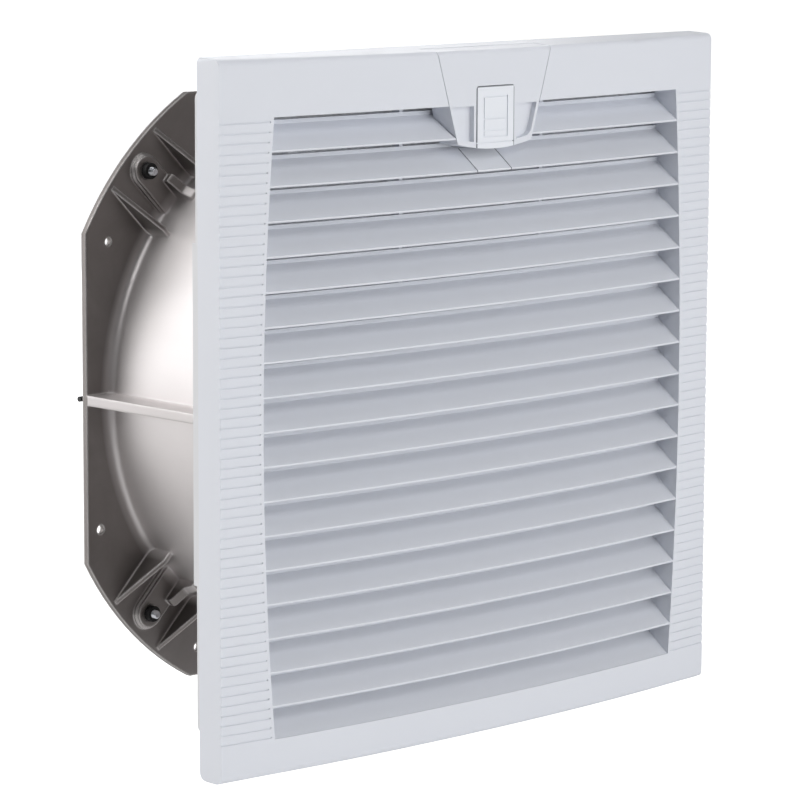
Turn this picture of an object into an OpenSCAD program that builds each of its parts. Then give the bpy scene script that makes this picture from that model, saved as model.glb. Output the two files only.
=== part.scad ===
// Cabinet filter fan: a louvred cover on a mounting frame, with a diecast axial fan behind it.
// X is to the right, Y goes into the cabinet and Z is up.
// The origin is the centre of the plane that seats on the cabinet's panel.

/* [Cover] */
// Width and height of the cover at the cabinet's panel
bezel_w = 323; // [322:0.5:324]
// How far the middle of the bowed front stands out of the panel
front_proj = 24; // [23:0.5:25]
// Radius of the front's bow, about a vertical axis
bow_r = 1300; // [1200:50:1500]
// Wall of the mouldings
wall = 2.4; // [2:0.1:2.6]
// Draft of the cover's four sides, in degrees
draft = 3.75; // [2:0.25:5]
// Rounding along the top and bottom edges of the front
edge_r = 3; // [1:0.5:4]
// Radius of the cover's corners seen from the front
corner_r = 2.5; // [1:0.5:4]

/* [Louvre] */
// Number of slats, without the sill
slats = 17; // [15:1:17]
// Height of the rail above the louvred field
top_rail = 26.6; // [26:0.1:27.2]
// Height of the rail below the louvred field
low_rail = 17.34; // [17:0.02:18]
// Width of the plain bands beside the louvred field, at mid height
side_band = 24.1; // [23.5:0.1:25]
// How much narrower the field is at its corners
barrel = 6; // [3:0.5:8]
// Depth of a slat from its lip to the foot of its upright
slat_d = 13.9; // [13:0.1:14.2]
// Rise of a slat over that depth
slat_rise = 9.9; // [9:0.1:10.1]
// Spacing of the fine lines in the side bands
line_pitch = 4.45; // [4:0.05:6]
// Depth of the fine lines
line_d = 0.5; // [0.2:0.05:0.6]

/* [Release] */
// Half width of the release panel at the cover's top edge
key_half_w = 37.5; // [36:0.1:39]
// How much that half width shrinks for each millimetre down
key_taper = 0.3; // [0.2:0.01:0.32]
// Height of the release panel
key_h = 47.2; // [46.5:0.1:47.3]
// Depth of the release panel behind the front
key_d = 12.3; // [12:0.1:12.4]
// Width of the button
button_w = 24.2; // [20:0.1:25]
// How far the button's top lies below the cover's top edge
button_drop = 18.5; // [17.5:0.1:19.5]
// Travel of the button
button_travel = 3; // [2:0.5:3]
// Depth of the finger pockets
pocket_d = 2.7; // [2:0.1:3]

/* [Frame] */
// How far the cover reaches past the collar on each side (the cut-out is 1 mm wider than the collar)
rim = 16; // [15.5:0.25:16.5]
// Depth of the collar behind the panel
collar_d = 19.2; // [19:0.1:20]
// Thickness of the filter mat
mat_t = 14; // [13:0.5:14]
// Thickness of the foam seal
seal_t = 2; // [1.5:0.5:2]

/* [Fan] */
// Gap between the collar's outside and the edges of the housing's flanges
flange_in = 5.5; // [5:0.5:6.5]
// Front face of the rear flange
flange_y = 102.4; // [100:0.1:104]
// Thickness of the rear flange
flange_t = 3; // [2.5:0.5:3.5]
// Gap between the housing's ring and the edges of its flanges
ring_in = 14.3; // [13.5:0.1:15]
// Wall of the housing's ring
ring_t = 4.2; // [3.5:0.1:5]
// Height of the fan's axis
axis_z = -3; // [-4:0.5:-2]
// Number of blades
blades = 7; // [5:1:9]
// Gap between the blades' tips and the ring
tip_gap = 3; // [2.5:0.5:5]
// Diameter of the guard's wire
wire_d = 2.5; // [2:0.1:2.5]

/* [Hidden] */
$fn = 96;

// Colours
GREY = [0.86, 0.87, 0.89];
WHITE = [0.93, 0.94, 0.95];
ALU = [0.72, 0.71, 0.71];
BLACK = [0.06, 0.06, 0.06];
STEEL = [0.75, 0.75, 0.77];
FLEECE = [0.93, 0.93, 0.90];
COPPER = [0.72, 0.42, 0.25];
CORE = [0.42, 0.43, 0.45];

// Clearances
gap = 0.3;
run = 0.05;
big = 400;

// Cover
half = bezel_w / 2;
cover_back = -0.5;
bow_y = bow_r - front_proj;
hinge_r = 5;
hinge_y = cover_back - hinge_r;
hinge_z = hinge_r - half;
hinge_x = half - 61.5;
knuckle_w = 4;
arm_w = 10;
arm_r = 2.3;
pin_r = 1.25;
pin_fit = 0.03;
sill_rise = 1.2;
field_top = half - top_rail;
field_low = low_rail - half;
field_half_w = half - side_band;
pitch = (field_top - field_low + sill_rise) / (slats + 1);
field_mid = (field_top + field_low) / 2;
field_h = field_top - field_low;
barrel_r = (pow(field_h / 2, 2) + barrel * barrel) / (2 * barrel);
upright = 1.8;
lip_back = 0.2;
slat_t = 1.9;
slat_back = slat_d + slat_t - 0.1;
web_back = -1.1;
side_wall_t = 2;
rib_x = 46;
line_w = 0.7;
line_top = field_top - 2;
line_count = floor((line_top - field_low + 3) / line_pitch);
line_margin = 1.6;

// Release panel, button and catch
seat_y = key_d - front_proj;
seat_t = 2;
button_d = 6;
button_wall = 1;
key_bottom = half - key_h;
button_top = half - button_drop;
stem_z = button_top - 4.1;
stem_r = 2;
screw_x = 25;
screw_z = half - 13.5;
insert_w = 23;
catch_z = half - 14;

// Frame
collar_w = bezel_w - 2 * rim;
collar = collar_w / 2;
collar_wall = 2.5;
tray = collar - collar_wall;
frame_t = 3;
frame_y = -seal_t - frame_t;
tail_t = 2;
stem_tip = frame_y - tail_t - gap - button_travel;
frame_out = half - 4.5;
frame_low = -hinge_z - hinge_r - gap;
rear_wall = 3;
grid_t = 3;
grid_y = collar_d - rear_wall - grid_t;
tab_half = collar - 68;
wedge_off = collar - 90.5;
tab_extra = 2.1;

// Fan
flange_w = collar_w - 2 * flange_in;
flange = flange_w / 2;
ring_r = flange - ring_in;
bore_r = ring_r - ring_t;
tip_r = bore_r - tip_gap;
flange_back = flange_y + flange_t;
front_t = 4;
front_back = collar_d + front_t;
flange_cut_r = flange + 20;
fillet_r = 4;
boss = flange - 35.1;
boss_r = 7.8;
boss_h = 3.2;
bush_r = 3.8;
bush_proud = 3;
tip_proud = 2.6;
flange_hole_r = 2.2;
tight_hole_r = flange_hole_r - 0.25;
hole_circle = flange + 6;
gusset_off = 18.2;
gusset_t = 2.2;
gusset_out = flange + 16.5;
gusset_h = 14;
web_t = 4.7;
joint_xz = flange - 10;
wire_r = wire_d / 2;
collar_back = flange_back + 2;
spoke_y = collar_back + wire_r;
plate_back = collar_back + wire_d;
ring_y = flange_back + wire_r + gap;
guard_in = 56;
guard_r = ring_r + 5.3;
guard_rings = 6;
shell_r = 46;
shell_front = 46;
shell_back = 100.5;
hub_r = 49;
hub_front = 50;
hub_back = 92;
shaft_r = 4;
bearing_r = 11;
bearing_w = 7;
tube_r = 14;
core_r = 38;
core_front = 62;
core_back = 92;
winding_out = 4;
base_t = 4;
front_bearing_y = 54;
rear_bearing_y = 95;
shaft_back = 103;
box_w = 64;
box_h = 44;
box_screw_x = box_w / 2 - 4;
base_screw_r = box_h * sqrt(0.5) + 6.9;
base_r = base_screw_r + 5;
lid_back = 130.5;
lid_t = 2;
gland_y = 119.5;

// Plates drawn in X and Z between two depths
module plate(y0, y1) {
    translate([0, y1, 0])
    rotate([90, 0, 0])
    linear_extrude(y1 - y0)
    children();
}

// Side profiles drawn in Y and Z between two places along X
module along_x(x0, x1) {
    translate([x0, 0, 0])
    rotate([90, 0, 90])
    linear_extrude(x1 - x0)
    children();
}

// Turned pieces: drawn about Z, then laid along the fan's axis
module on_axis() {
    translate([0, 0, axis_z])
    rotate([-90, 0, 0])
    children();
}

// A cylinder along Y between two depths
module rod_y(x, z, r, y0, y1) {
    translate([x, y0, z])
    rotate([-90, 0, 0])
    cylinder(r = r, h = y1 - y0);
}

// A disc or tube on the fan's axis
module tube(r_out, r_in, y0, y1) {
    on_axis()
    translate([0, 0, y0])
    difference() {
        cylinder(r = r_out, h = y1 - y0);
        if (r_in > 0)
            translate([0, 0, -1])
            cylinder(r = r_in, h = y1 - y0 + 2);
    }
}

// Copies at the four corners of the housing
module four_corners(d) {
    for (sx = [-1, 1], sz = [-1, 1])
        translate([sx * d, 0, axis_z + sz * d])
        children();
}

module round_square(w, h, r) {
    square([w - 2 * r, h], center = true);
    square([w, h - 2 * r], center = true);
    for (sx = [-1, 1], sy = [-1, 1])
        translate([sx * (w / 2 - r), sy * (h / 2 - r)])
        circle(r);
}

// Everything behind the bowed front, set back by inset
module bow(inset = 0) {
    translate([0, bow_y, -big / 2])
    cylinder(r = bow_r - inset, h = big, $fn = 1440);
}

// A section swept along the bow from one angle to another: X is the bow's radius, Y is the height
module bow_sweep(a0, a1) {
    translate([0, bow_y, 0])
    rotate([0, 0, a0 - 90])
    rotate_extrude(angle = a1 - a0, $fn = 720)
    children();
}

// What is cut away to round the front's top and bottom edges
module edge_cut() {
    h = half - front_proj * tan(draft) / 2 - edge_r;
    r = bow_r - edge_r;
    for (s = [0, 1])
        mirror([0, 0, s])
        bow_sweep(-8, 8)
        translate([r, h])
        difference() {
            square(edge_r + 4);
            circle(edge_r);
        }
}

// The drafted sides: plan and side outlines, inset for the cavity
module drafted(inset, back) {
    lean = 40 * tan(draft);
    w = half - inset;
    intersection() {
        translate([0, 0, -big / 2])
        linear_extrude(big)
        polygon([[-w, back], [w, back], [w - lean, back - 40], [lean - w, back - 40]]);
        along_x(-big / 2, big / 2) {
            polygon([[back, w], [back - 40, w - lean], [back - 40, lean - w],
                [hinge_y, -w], [hinge_y, hinge_z], [back, hinge_z]]);
            intersection() {
                translate([hinge_y, hinge_z])
                circle(hinge_r - inset);
                translate([hinge_y - 1, hinge_z - hinge_r])
                square([hinge_r + 1, hinge_r]);
            }
        }
    }
}

// The louvred field's barrel outline, grown by e
module field(e = 0) {
    intersection() {
        translate([0, field_mid])
        square([big, field_h + 2 * e], center = true);
        translate([barrel_r - field_half_w, field_mid])
        circle(r = barrel_r + e, $fn = 720);
        translate([field_half_w - barrel_r, field_mid])
        circle(r = barrel_r + e, $fn = 720);
    }
}

// One slat's section: X is the bow's radius, Y is the height above the lip's lower edge
module slat_section() {
    slope = slat_rise / (slat_d - 0.7);
    drop = slat_t / cos(atan(slope));
    z0 = 1.35;
    under = (drop - z0) / slope + 0.7;
    top = z0 + slat_rise;
    foot = top + slope * (slat_back - slat_d) - drop;
    translate([bow_r - lip_back, 0])
    mirror([1, 0])
    polygon([[0, 0.25], [0.3, 0], [under, 0], [slat_back, foot], [slat_back, top + upright],
        [slat_d - 0.4, top + upright], [slat_d, top], [0.7, z0], [0.15, 1.05], [0, 0.75]]);
}

// Half width of the field at a height
function field_hw(z) = field_half_w - barrel_r + sqrt(barrel_r * barrel_r - pow(z - field_mid, 2));

// Slat k, counted from the top, swept along the bow and ended inside both side walls
module slat(k) {
    z = field_top - k * pitch;
    end = field_hw(z + slat_rise / 2) + side_wall_t / 2;
    a = asin((end + 5) / bow_r);
    intersection() {
        bow_sweep(-a, a)
        translate([0, z])
        slat_section();
        translate([-end, -50, z - 1])
        cube([2 * end, 50 + web_back - 0.8, pitch + 2]);
    }
}

// The release panel's outline, grown by e
module key_shape(e = 0) {
    low = key_bottom - e;
    w_top = key_half_w + e;
    w_low = key_half_w - key_taper * (half - key_bottom) + e;
    r_low = 100;
    intersection() {
        polygon([[-w_top, half], [w_top, half], [w_low + 0.6, low + 2.4], [w_low - 2, low - 1],
            [2 - w_low, low - 1], [-w_low - 0.6, low + 2.4]]);
        translate([0, low + r_low])
        circle(r_low);
    }
}

// What the button fills in the release panel, grown by e
module button_shape(e = 0) {
    low = key_bottom - 5;
    top = button_top + e;
    translate([0, (low + top) / 2])
    round_square(button_w + 2 * e, top - low, 1.2 + e);
}

// Fine lines across both side bands, each as long as the band is wide there
module band_lines() {
    for (i = [0 : line_count], s = [0, 1]) {
        z = line_top - i * line_pitch;
        a = asin((field_hw(z) + line_margin) / bow_r);
        mirror([s, 0, 0])
        bow_sweep(a, 8)
        translate([bow_r - line_d, z - line_w / 2])
        square([2, line_w]);
    }
}

// The cover's hollow shell with the louvred field cut out
module cover_shell() {
    difference() {
        intersection() {
            drafted(0, cover_back);
            bow();
            plate(-50, 10)
            round_square(bezel_w, bezel_w, corner_r);
        }
        edge_cut();
        intersection() {
            drafted(wall, cover_back + 0.01);
            bow(wall);
        }
        plate(-50, 10)
        field();
    }
}

// Walls round the field, shorter at the bottom where the frame's flange is
module field_walls() {
    difference() {
        intersection() {
            bow();
            plate(-50, web_back)
            difference() {
                field(side_wall_t);
                field();
            }
        }
        translate([-half, frame_y - 1, -half])
        cube([bezel_w, 10, half + field_low + 2]);
    }
}

module louvre_cover() {
    color(GREY)
    difference() {
        union() {
            cover_shell();
            field_walls();
            for (k = [1 : slats + 1])
                slat(k);
            // two ribs that tie the slats together from behind
            for (s = [-1, 1])
                translate([s * rib_x - 1, -9, field_low + 4])
                cube([2, 5, field_h - 3]);
            // seat for the release panel
            plate(seat_y, seat_y + seat_t)
            translate([-key_half_w - 5.5, field_top + 1])
            square([2 * key_half_w + 11, top_rail - 3]);
            // hinge knuckles
            for (sx = [-1, 1], k = [-1, 1])
                translate([sx * hinge_x + k * (arm_w + knuckle_w) / 2 - knuckle_w / 2, hinge_y, hinge_z])
                rotate([0, 90, 0])
                cylinder(r = hinge_r - wall + 0.6, h = knuckle_w);
        }
        // places of the release panel and of the slat insert
        plate(-50, seat_y)
        key_shape(gap);
        plate(-50, 0)
        insert_place();
        band_lines();
        // holes in the seat: screws, button stem and catch
        for (s = [-1, 1])
            rod_y(s * screw_x, screw_z, 1.7, seat_y - 1, seat_y + seat_t + 1);
        rod_y(0, stem_z, stem_r + 1, seat_y - 1, seat_y + seat_t + 1);
        plate(seat_y - 1, seat_y + seat_t + 1)
        translate([0, catch_z + 0.8])
        square([16, 6], center = true);
        // slots for the frame's hinge arms, and the pins' bores
        for (s = [-1, 1])
            translate([s * hinge_x - arm_w / 2, hinge_y, -half - 1])
            cube([arm_w, hinge_r + 1, 14]);
        hinge_bore(pin_r + pin_fit, arm_w + 2 * knuckle_w + 2 * pin_fit);
    }
}

// A bore or pin at both hinges
module hinge_bore(r, len) {
    for (s = [-1, 1])
        translate([s * hinge_x - len / 2, hinge_y, hinge_z])
        rotate([0, 90, 0])
        cylinder(r = r, h = len);
}

module hinge_pins() {
    color(STEEL)
    hinge_bore(pin_r, arm_w + 2 * knuckle_w);
}

// The part of slat 2 that the insert fills, narrower by e on each side
module insert_place(e = 0) {
    low = field_top - 2 * pitch - 1;
    translate([e - insert_w / 2, low])
    square([insert_w - 2 * e, key_bottom - gap - low]);
}

module slat_insert() {
    color(WHITE)
    intersection() {
        slat(2);
        plate(-50, 0)
        insert_place(0.2);
    }
}

// The finger pockets beside the button, with a narrow rim left round them
module pocket_shape() {
    rim = 1.3;
    r_low = 97;
    // round of the lower outer corners, touching the leaning side and the lower arc
    r = 6;
    lean = sqrt(1 + key_taper * key_taper);
    arc_z = key_bottom + 2 * rim + r_low;
    b = key_half_w - rim - key_taper * (half - arc_z) - r * lean;
    down = (b * key_taper + sqrt(pow(lean * (r_low - r), 2) - b * b)) / (lean * lean);
    x = b - key_taper * down;
    x_low = x * r_low / (r_low - r);
    intersection() {
        key_shape(-rim);
        translate([0, arc_z])
        circle(r_low);
        union() {
            translate([-key_half_w, arc_z - down - r * key_taper / lean])
            square([2 * key_half_w, key_h]);
            translate([-x_low, key_bottom])
            square([2 * x_low, key_h]);
            for (s = [-1, 1])
                translate([s * x, arc_z - down])
                circle(r);
        }
        difference() {
            translate([-key_half_w, key_bottom])
            square([2 * key_half_w, field_top - 0.6 - key_bottom]);
            button_shape(1.8);
        }
    }
}

module release_panel() {
    guide_t = 2.2;
    color(GREY)
    difference() {
        union() {
            difference() {
                intersection() {
                    plate(-50, seat_y)
                    key_shape();
                    bow();
                    drafted(0.2, cover_back);
                }
                edge_cut();
                intersection() {
                    plate(-50, seat_y + 1)
                    key_shape(-2);
                    bow(pocket_d + 1.8);
                    drafted(wall + 0.2, 1);
                }
            }
            // wall that guides the button's stem
            plate(seat_y - guide_t, seat_y)
            intersection() {
                key_shape(-1);
                translate([-key_half_w, stem_z - 5])
                square([2 * key_half_w, 9]);
            }
            for (s = [-1, 1])
                rod_y(s * screw_x, screw_z, 3.2, 4 - front_proj, seat_y);
        }
        plate(-50, seat_y - guide_t)
        button_shape(gap);
        difference() {
            plate(-50, seat_y - guide_t)
            pocket_shape();
            bow(pocket_d);
        }
        rod_y(0, stem_z, stem_r + run, seat_y - 5, seat_y + 1);
        for (s = [-1, 1])
            rod_y(s * screw_x, screw_z, 1.25, seat_y - 7, seat_y + 1);
    }
}

module panel_screws() {
    color(STEEL)
    for (s = [-1, 1]) {
        rod_y(s * screw_x, screw_z, 1.25, seat_y - 6, seat_y + seat_t + 0.5);
        rod_y(s * screw_x, screw_z, 2.8, seat_y + seat_t, seat_y + seat_t + 2);
    }
}

module release_button() {
    color(WHITE)
    difference() {
        union() {
            difference() {
                intersection() {
                    bow(-0.2);
                    plate(-50, button_d - front_proj)
                    intersection() {
                        button_shape();
                        key_shape();
                    }
                }
                intersection() {
                    bow(2);
                    plate(-50, button_d - front_proj + 1)
                    intersection() {
                        button_shape(-button_wall);
                        key_shape(-2);
                    }
                }
            }
            rod_y(0, stem_z, stem_r, 2 - front_proj, stem_tip);
        }
        // engraved frame with two cross lines
        difference() {
            plate(-50, 0) {
                difference() {
                    translate([-7.9, key_bottom + 5.3])
                    square([15.8, 18.9]);
                    translate([-7.3, key_bottom + 5.9])
                    square([14.6, 17.7]);
                }
                for (up = [8.1, 13.4])
                    translate([-7.9, key_bottom + up])
                    square([15.8, 0.6]);
            }
            bow(0.35);
        }
        // step of the lower lip
        difference() {
            plate(-50, 0)
            translate([-button_w, key_bottom + 2.6])
            square([2 * button_w, 0.6]);
            bow(0.35);
        }
    }
}

// A coil along Z: every step of the helix carries a ring of points, and the rings are joined by quads
module coil(r, wire, turns, len, steps = 16, sides = 6) {
    n = turns * steps;
    points = [for (i = [0 : n], j = [0 : sides - 1])
        let (a = 360 * i / steps, b = 360 * j / sides, q = r + wire * cos(b))
        [q * cos(a), q * sin(a), len * i / n + wire * sin(b)]];
    quads = [for (i = [0 : n - 1], j = [0 : sides - 1])
        let (k = (j + 1) % sides)
        [i * sides + j, i * sides + k, (i + 1) * sides + k, (i + 1) * sides + j]];
    ends = [[for (j = [0 : sides - 1]) sides - 1 - j], [for (j = [0 : sides - 1]) n * sides + j]];
    polyhedron(points, concat(quads, ends), convexity = 8);
}

module button_spring() {
    wire = 0.3;
    start = 2.05 - front_proj + wire;
    color(STEEL)
    translate([0, start, stem_z])
    rotate([-90, 0, 0])
    coil(2.6, wire, 5, seat_y - 2.25 - wire - start);
}

module mounting_frame() {
    color(GREY)
    difference() {
        union() {
            // flange, collar and rear wall
            plate(frame_y, -seal_t)
            intersection() {
                round_square(2 * frame_out, 2 * frame_out, 3);
                translate([-big / 2, -frame_low])
                square([big, big]);
            }
            plate(frame_y, collar_d)
            round_square(collar_w, collar_w, 4);
            // longer stretches in the middle of each side
            for (a = [0 : 90 : 270])
                rotate([0, a, 0])
                translate([tray, 0, -tab_half])
                cube([collar_wall, collar_d + tab_extra, 2 * tab_half]);
            // snap wedges behind the panel
            for (a = [0 : 90 : 270], s = [-1, 1])
                rotate([0, a, 0])
                translate([0, 0, s * wedge_off - 8])
                linear_extrude(16)
                polygon([[collar - 1, 2.3], [collar + 2, 2.3], [collar, 11], [collar - 1, 11]]);
            // hinge arms
            for (s = [-1, 1])
                along_x(s * hinge_x - arm_w / 2 + 0.4, s * hinge_x + arm_w / 2 - 0.4)
                union() {
                    translate([hinge_y, hinge_z])
                    circle(arm_r);
                    polygon([[hinge_y - arm_r, hinge_z], [hinge_y + arm_r, hinge_z],
                        [-seal_t - 0.2, -frame_low], [-seal_t - 0.2, 5 - frame_low],
                        [frame_y - 1, 3.5 - frame_low]]);
                }
        }
        plate(frame_y, grid_y + grid_t)
        round_square(2 * tray, 2 * tray, 3);
        plate(grid_y, collar_d + 1)
        translate([0, axis_z])
        circle(bore_r + 0.5);
        for (sx = [-1, 1], sz = [-1, 1])
            rod_y(sx * joint_xz, axis_z + sz * joint_xz, 2, grid_y, collar_d + 1);
        hinge_bore(pin_r + run, arm_w);
    }
}

// The hooked tongue that holds the cover shut; the button's stem pushes its foot
module latch_tongue() {
    color(GREY)
    union() {
        along_x(-6, 6)
        polygon([[frame_y - tail_t, catch_z - 1], [frame_y - tail_t, catch_z + 1],
            [seat_y - gap, catch_z + 1], [seat_y - gap, catch_z + 2.6],
            [seat_y - 1.2, catch_z + 2.6], [seat_y - 2, catch_z - 1]]);
        along_x(-6, 6)
        translate([frame_y - tail_t, stem_z - 1.7])
        square([tail_t, catch_z - stem_z + 5]);
    }
}

module panel_gasket() {
    color(BLACK)
    plate(-seal_t, 0)
    difference() {
        intersection() {
            square(2 * frame_out - 1, center = true);
            translate([-big / 2, 0.2 - frame_low])
            square([big, big]);
        }
        square(collar_w + 4, center = true);
    }
}

module filter_mat() {
    color(FLEECE)
    plate(grid_y - mat_t, grid_y)
    translate([0, -0.5])
    round_square(2 * tray - 1, 2 * tray - 1, 4);
}

module support_grid() {
    color(BLACK)
    plate(grid_y, grid_y + grid_t)
    difference() {
        round_square(2 * tray - 1, 2 * tray - 1, 4);
        difference() {
            translate([0, axis_z])
            circle(bore_r - 2);
            for (r = [22 : 20 : bore_r - 15])
                translate([0, axis_z])
                difference() {
                    circle(r + 1.3);
                    circle(r - 1.3);
                }
            for (a = [0 : 30 : 150])
                translate([0, axis_z])
                rotate(a)
                square([2 * bore_r, 3], center = true);
        }
    }
}

// The rear flange's outline: a square with corners cut by a circle
module flange_shape() {
    translate([0, axis_z])
    intersection() {
        square(flange_w, center = true);
        circle(r = flange_cut_r, $fn = 180);
    }
}

// One corner of the housing, drawn for the corner on +X: a stepped boss and two gussets
module housing_corner() {
    r_mid = boss * sqrt(2);
    for (step = [[0, boss_h / 2], [0.9, boss_h]])
        plate(flange_y - step[1], flange_y + 0.5)
        union() {
            translate([r_mid, 0])
            circle(boss_r - step[0]);
            translate([bore_r + 2, step[0] - boss_r])
            square([r_mid - bore_r - 2, 2 * (boss_r - step[0])]);
        }
    for (s = [-1, 1])
        translate([0, 0, s * gusset_off - gusset_t / 2])
        linear_extrude(gusset_t)
        polygon([[bore_r + 1, flange_y + 0.5], [gusset_out, flange_y + 0.5], [gusset_out, flange_y - 0.3],
            [ring_r + 3.6, flange_y - gusset_h], [bore_r + 1, flange_y - gusset_h]]);
}

// Stepped block that leans from the ring onto a boss
module corner_block() {
    linear_extrude(4.6)
    polygon([[bore_r + 1, flange_y + 0.5], [ring_r + 12.3, flange_y + 0.5], [ring_r + 12.3, flange_y - 6],
        [ring_r + 11.2, flange_y - 7.2], [ring_r + 4.3, flange_y - 10], [ring_r + 1.8, flange_y - 14.5],
        [bore_r + 1, flange_y - 14.5]]);
}

module fan_housing() {
    color(ALU)
    difference() {
        union() {
            tube(ring_r, 0, collar_d, flange_back);
            plate(collar_d, front_back)
            translate([0, axis_z])
            round_square(flange_w, flange_w, 6);
            plate(flange_y, flange_back)
            flange_shape();
            // fillet between the ring and the rear flange
            on_axis()
            rotate_extrude($fn = 180)
            difference() {
                translate([ring_r - 1, flange_y - fillet_r])
                square([fillet_r + 1, fillet_r + 0.5]);
                translate([ring_r + fillet_r, flange_y - fillet_r])
                circle(fillet_r);
            }
            // webs in the middle of each side
            translate([0, 0, axis_z])
            for (a = [0 : 90 : 270])
                rotate([0, a, 0])
                translate([bore_r + 1, collar_d + 1, -web_t / 2])
                cube([flange - bore_r - 1, flange_y - collar_d, web_t]);
            translate([0, 0, axis_z])
            for (a = [45 : 90 : 315])
                rotate([0, a, 0])
                housing_corner();
            translate([0, 0, axis_z])
            for (sx = [0, 1], sz = [0, 1])
                mirror([sx, 0, 0])
                mirror([0, 0, sz])
                rotate([0, -45, 0])
                translate([0, 0, 2.8])
                corner_block();
        }
        tube(bore_r, 0, collar_d - 1, flange_back + 1);
        // rounded inlet
        on_axis()
        rotate_extrude($fn = 180)
        difference() {
            translate([bore_r - 1, collar_d - 1])
            square([3, 3]);
            translate([bore_r + 2, collar_d + 2])
            circle(2);
        }
        four_corners(boss)
        rod_y(0, 0, bush_r, flange_y - boss_h - 1, flange_back + 1);
        // through holes, and a second set a little tighter on the same circle
        for (k = [0 : 3]) {
            rotate_on_axis(25 + 90 * k)
            rod_y(hole_circle, axis_z, flange_hole_r, flange_y - 1, flange_back + 1);
            rotate_on_axis(60 + 90 * k)
            rod_y(hole_circle, axis_z, tight_hole_r, flange_y - 1, flange_back + 1);
        }
        four_corners(joint_xz)
        rod_y(0, 0, 2.75, collar_d - 1, front_back + 1);
    }
}

// Turns children about the fan's axis, counter-clockwise seen from the front
module rotate_on_axis(a) {
    translate([0, 0, axis_z])
    rotate([0, -a, 0])
    translate([0, 0, -axis_z])
    children();
}

module housing_screws() {
    color(STEEL)
    four_corners(joint_xz)
    union() {
        rod_y(0, 0, 2, grid_y + grid_t + 0.1, front_back + 0.5);
        rod_y(0, 0, 4.5, front_back, front_back + 3);
    }
}

module corner_grommets() {
    color(BLACK)
    four_corners(boss)
    difference() {
        union() {
            rod_y(0, 0, bush_r, flange_y - boss_h - bush_proud, collar_back);
            rod_y(0, 0, 6.5, flange_back, collar_back);
        }
        rod_y(0, 0, 2, flange_y - boss_h - bush_proud - 1, collar_back + 1);
    }
}

module corner_screws() {
    color(STEEL)
    four_corners(boss)
    union() {
        rod_y(0, 0, 2, flange_y - boss_h - bush_proud - tip_proud, plate_back + 0.5);
        difference() {
            rod_y(0, 0, 4.6, plate_back, plate_back + 3);
            translate([-5, plate_back + 1.8, -0.5])
            cube([10, 3, 1]);
        }
    }
}

// A wire ring on the fan's axis
module wire_ring(r, y) {
    on_axis()
    translate([0, 0, y])
    rotate_extrude($fn = 180)
    translate([r, 0])
    circle(r = wire_r, $fn = 24);
}

module rear_guard() {
    color(BLACK)
    difference() {
        union() {
            for (k = [0 : guard_rings - 1])
                wire_ring(guard_in + k * (guard_r - guard_in) / (guard_rings - 1), ring_y);
            // straight wires to the flange's edges, and to the eyelets in the corners
            for (a = [0 : 90 : 270])
                rotate_on_axis(a)
                translate([base_screw_r, spoke_y, axis_z])
                rotate([0, 90, 0])
                cylinder(r = wire_r, h = flange - 0.5 - base_screw_r);
            for (a = [45 : 90 : 315])
                rotate_on_axis(a)
                translate([base_screw_r, spoke_y, axis_z])
                rotate([0, 90, 0])
                cylinder(r = wire_r, h = boss * sqrt(2) - base_screw_r - 3);
            for (a = [22.5 : 45 : 337.5])
                rotate_on_axis(a)
                translate([base_screw_r, spoke_y, axis_z])
                rotate([0, 90, 0])
                cylinder(r = wire_r, h = guard_r - base_screw_r);
            four_corners(boss)
            translate([0, spoke_y, 0])
            rotate([-90, 0, 0])
            rotate_extrude($fn = 48)
            translate([3.6, 0])
            circle(r = wire_r, $fn = 24);
            tube(base_r + 1, 18, collar_back, plate_back);
        }
        for (a = [45 : 90 : 315])
            rotate_on_axis(a)
            rod_y(base_screw_r, axis_z, 2.1, collar_back - 1, plate_back + 1);
        for (s = [-1, 1])
            rod_y(s * box_screw_x, axis_z, 1.5, collar_back - 1, plate_back + 1);
    }
}

module motor_base() {
    color(ALU)
    difference() {
        union() {
            tube(base_r, 0, collar_back - base_t, collar_back);
            tube(tube_r, 0, front_bearing_y, collar_back);
        }
        tube(bearing_r, 0, front_bearing_y - 4, front_bearing_y + bearing_w);
        tube(bearing_r - 1.5, 0, front_bearing_y + 6, rear_bearing_y + 1);
        tube(bearing_r, 0, rear_bearing_y, collar_back + 1);
        for (a = [45 : 90 : 315])
            rotate_on_axis(a)
            rod_y(base_screw_r, axis_z, 2, collar_back - base_t - 1, collar_back + 1);
    }
}

module stator_core() {
    color(CORE)
    difference() {
        tube(core_r, tube_r, core_front, core_back);
        // winding slots with narrow mouths
        for (a = [0 : 30 : 330])
            rotate_on_axis(a)
            translate([0, core_front - 1, axis_z]) {
                translate([24, 0, -2.5])
                cube([11, core_back - core_front + 2, 5]);
                translate([30, 0, -1])
                cube([11, core_back - core_front + 2, 2]);
            }
    }
}

module stator_windings() {
    color(COPPER)
    for (y = [core_front - winding_out, core_back + winding_out])
        on_axis()
        rotate_extrude()
        translate([28.5, y])
        union() {
            square([7, 2 * winding_out], center = true);
            for (s = [-1, 1])
                translate([s * 3.5, 0])
                circle(r = winding_out, $fn = 32);
        }
}

module motor_shaft() {
    color(STEEL)
    tube(shaft_r, 0, shell_front + 1, shaft_back);
}

// A ball bearing between the tube and the shaft, drawn as one sealed ring
module bearing(y) {
    difference() {
        tube(bearing_r, shaft_r + run, y, y + bearing_w);
        tube(9, 6.5, y - 1, y + 0.5);
        tube(9, 6.5, y + bearing_w - 0.5, y + bearing_w + 1);
    }
}

module front_bearing() {
    color(STEEL)
    bearing(front_bearing_y);
}

module rear_bearing() {
    color(STEEL)
    bearing(rear_bearing_y);
}

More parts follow.
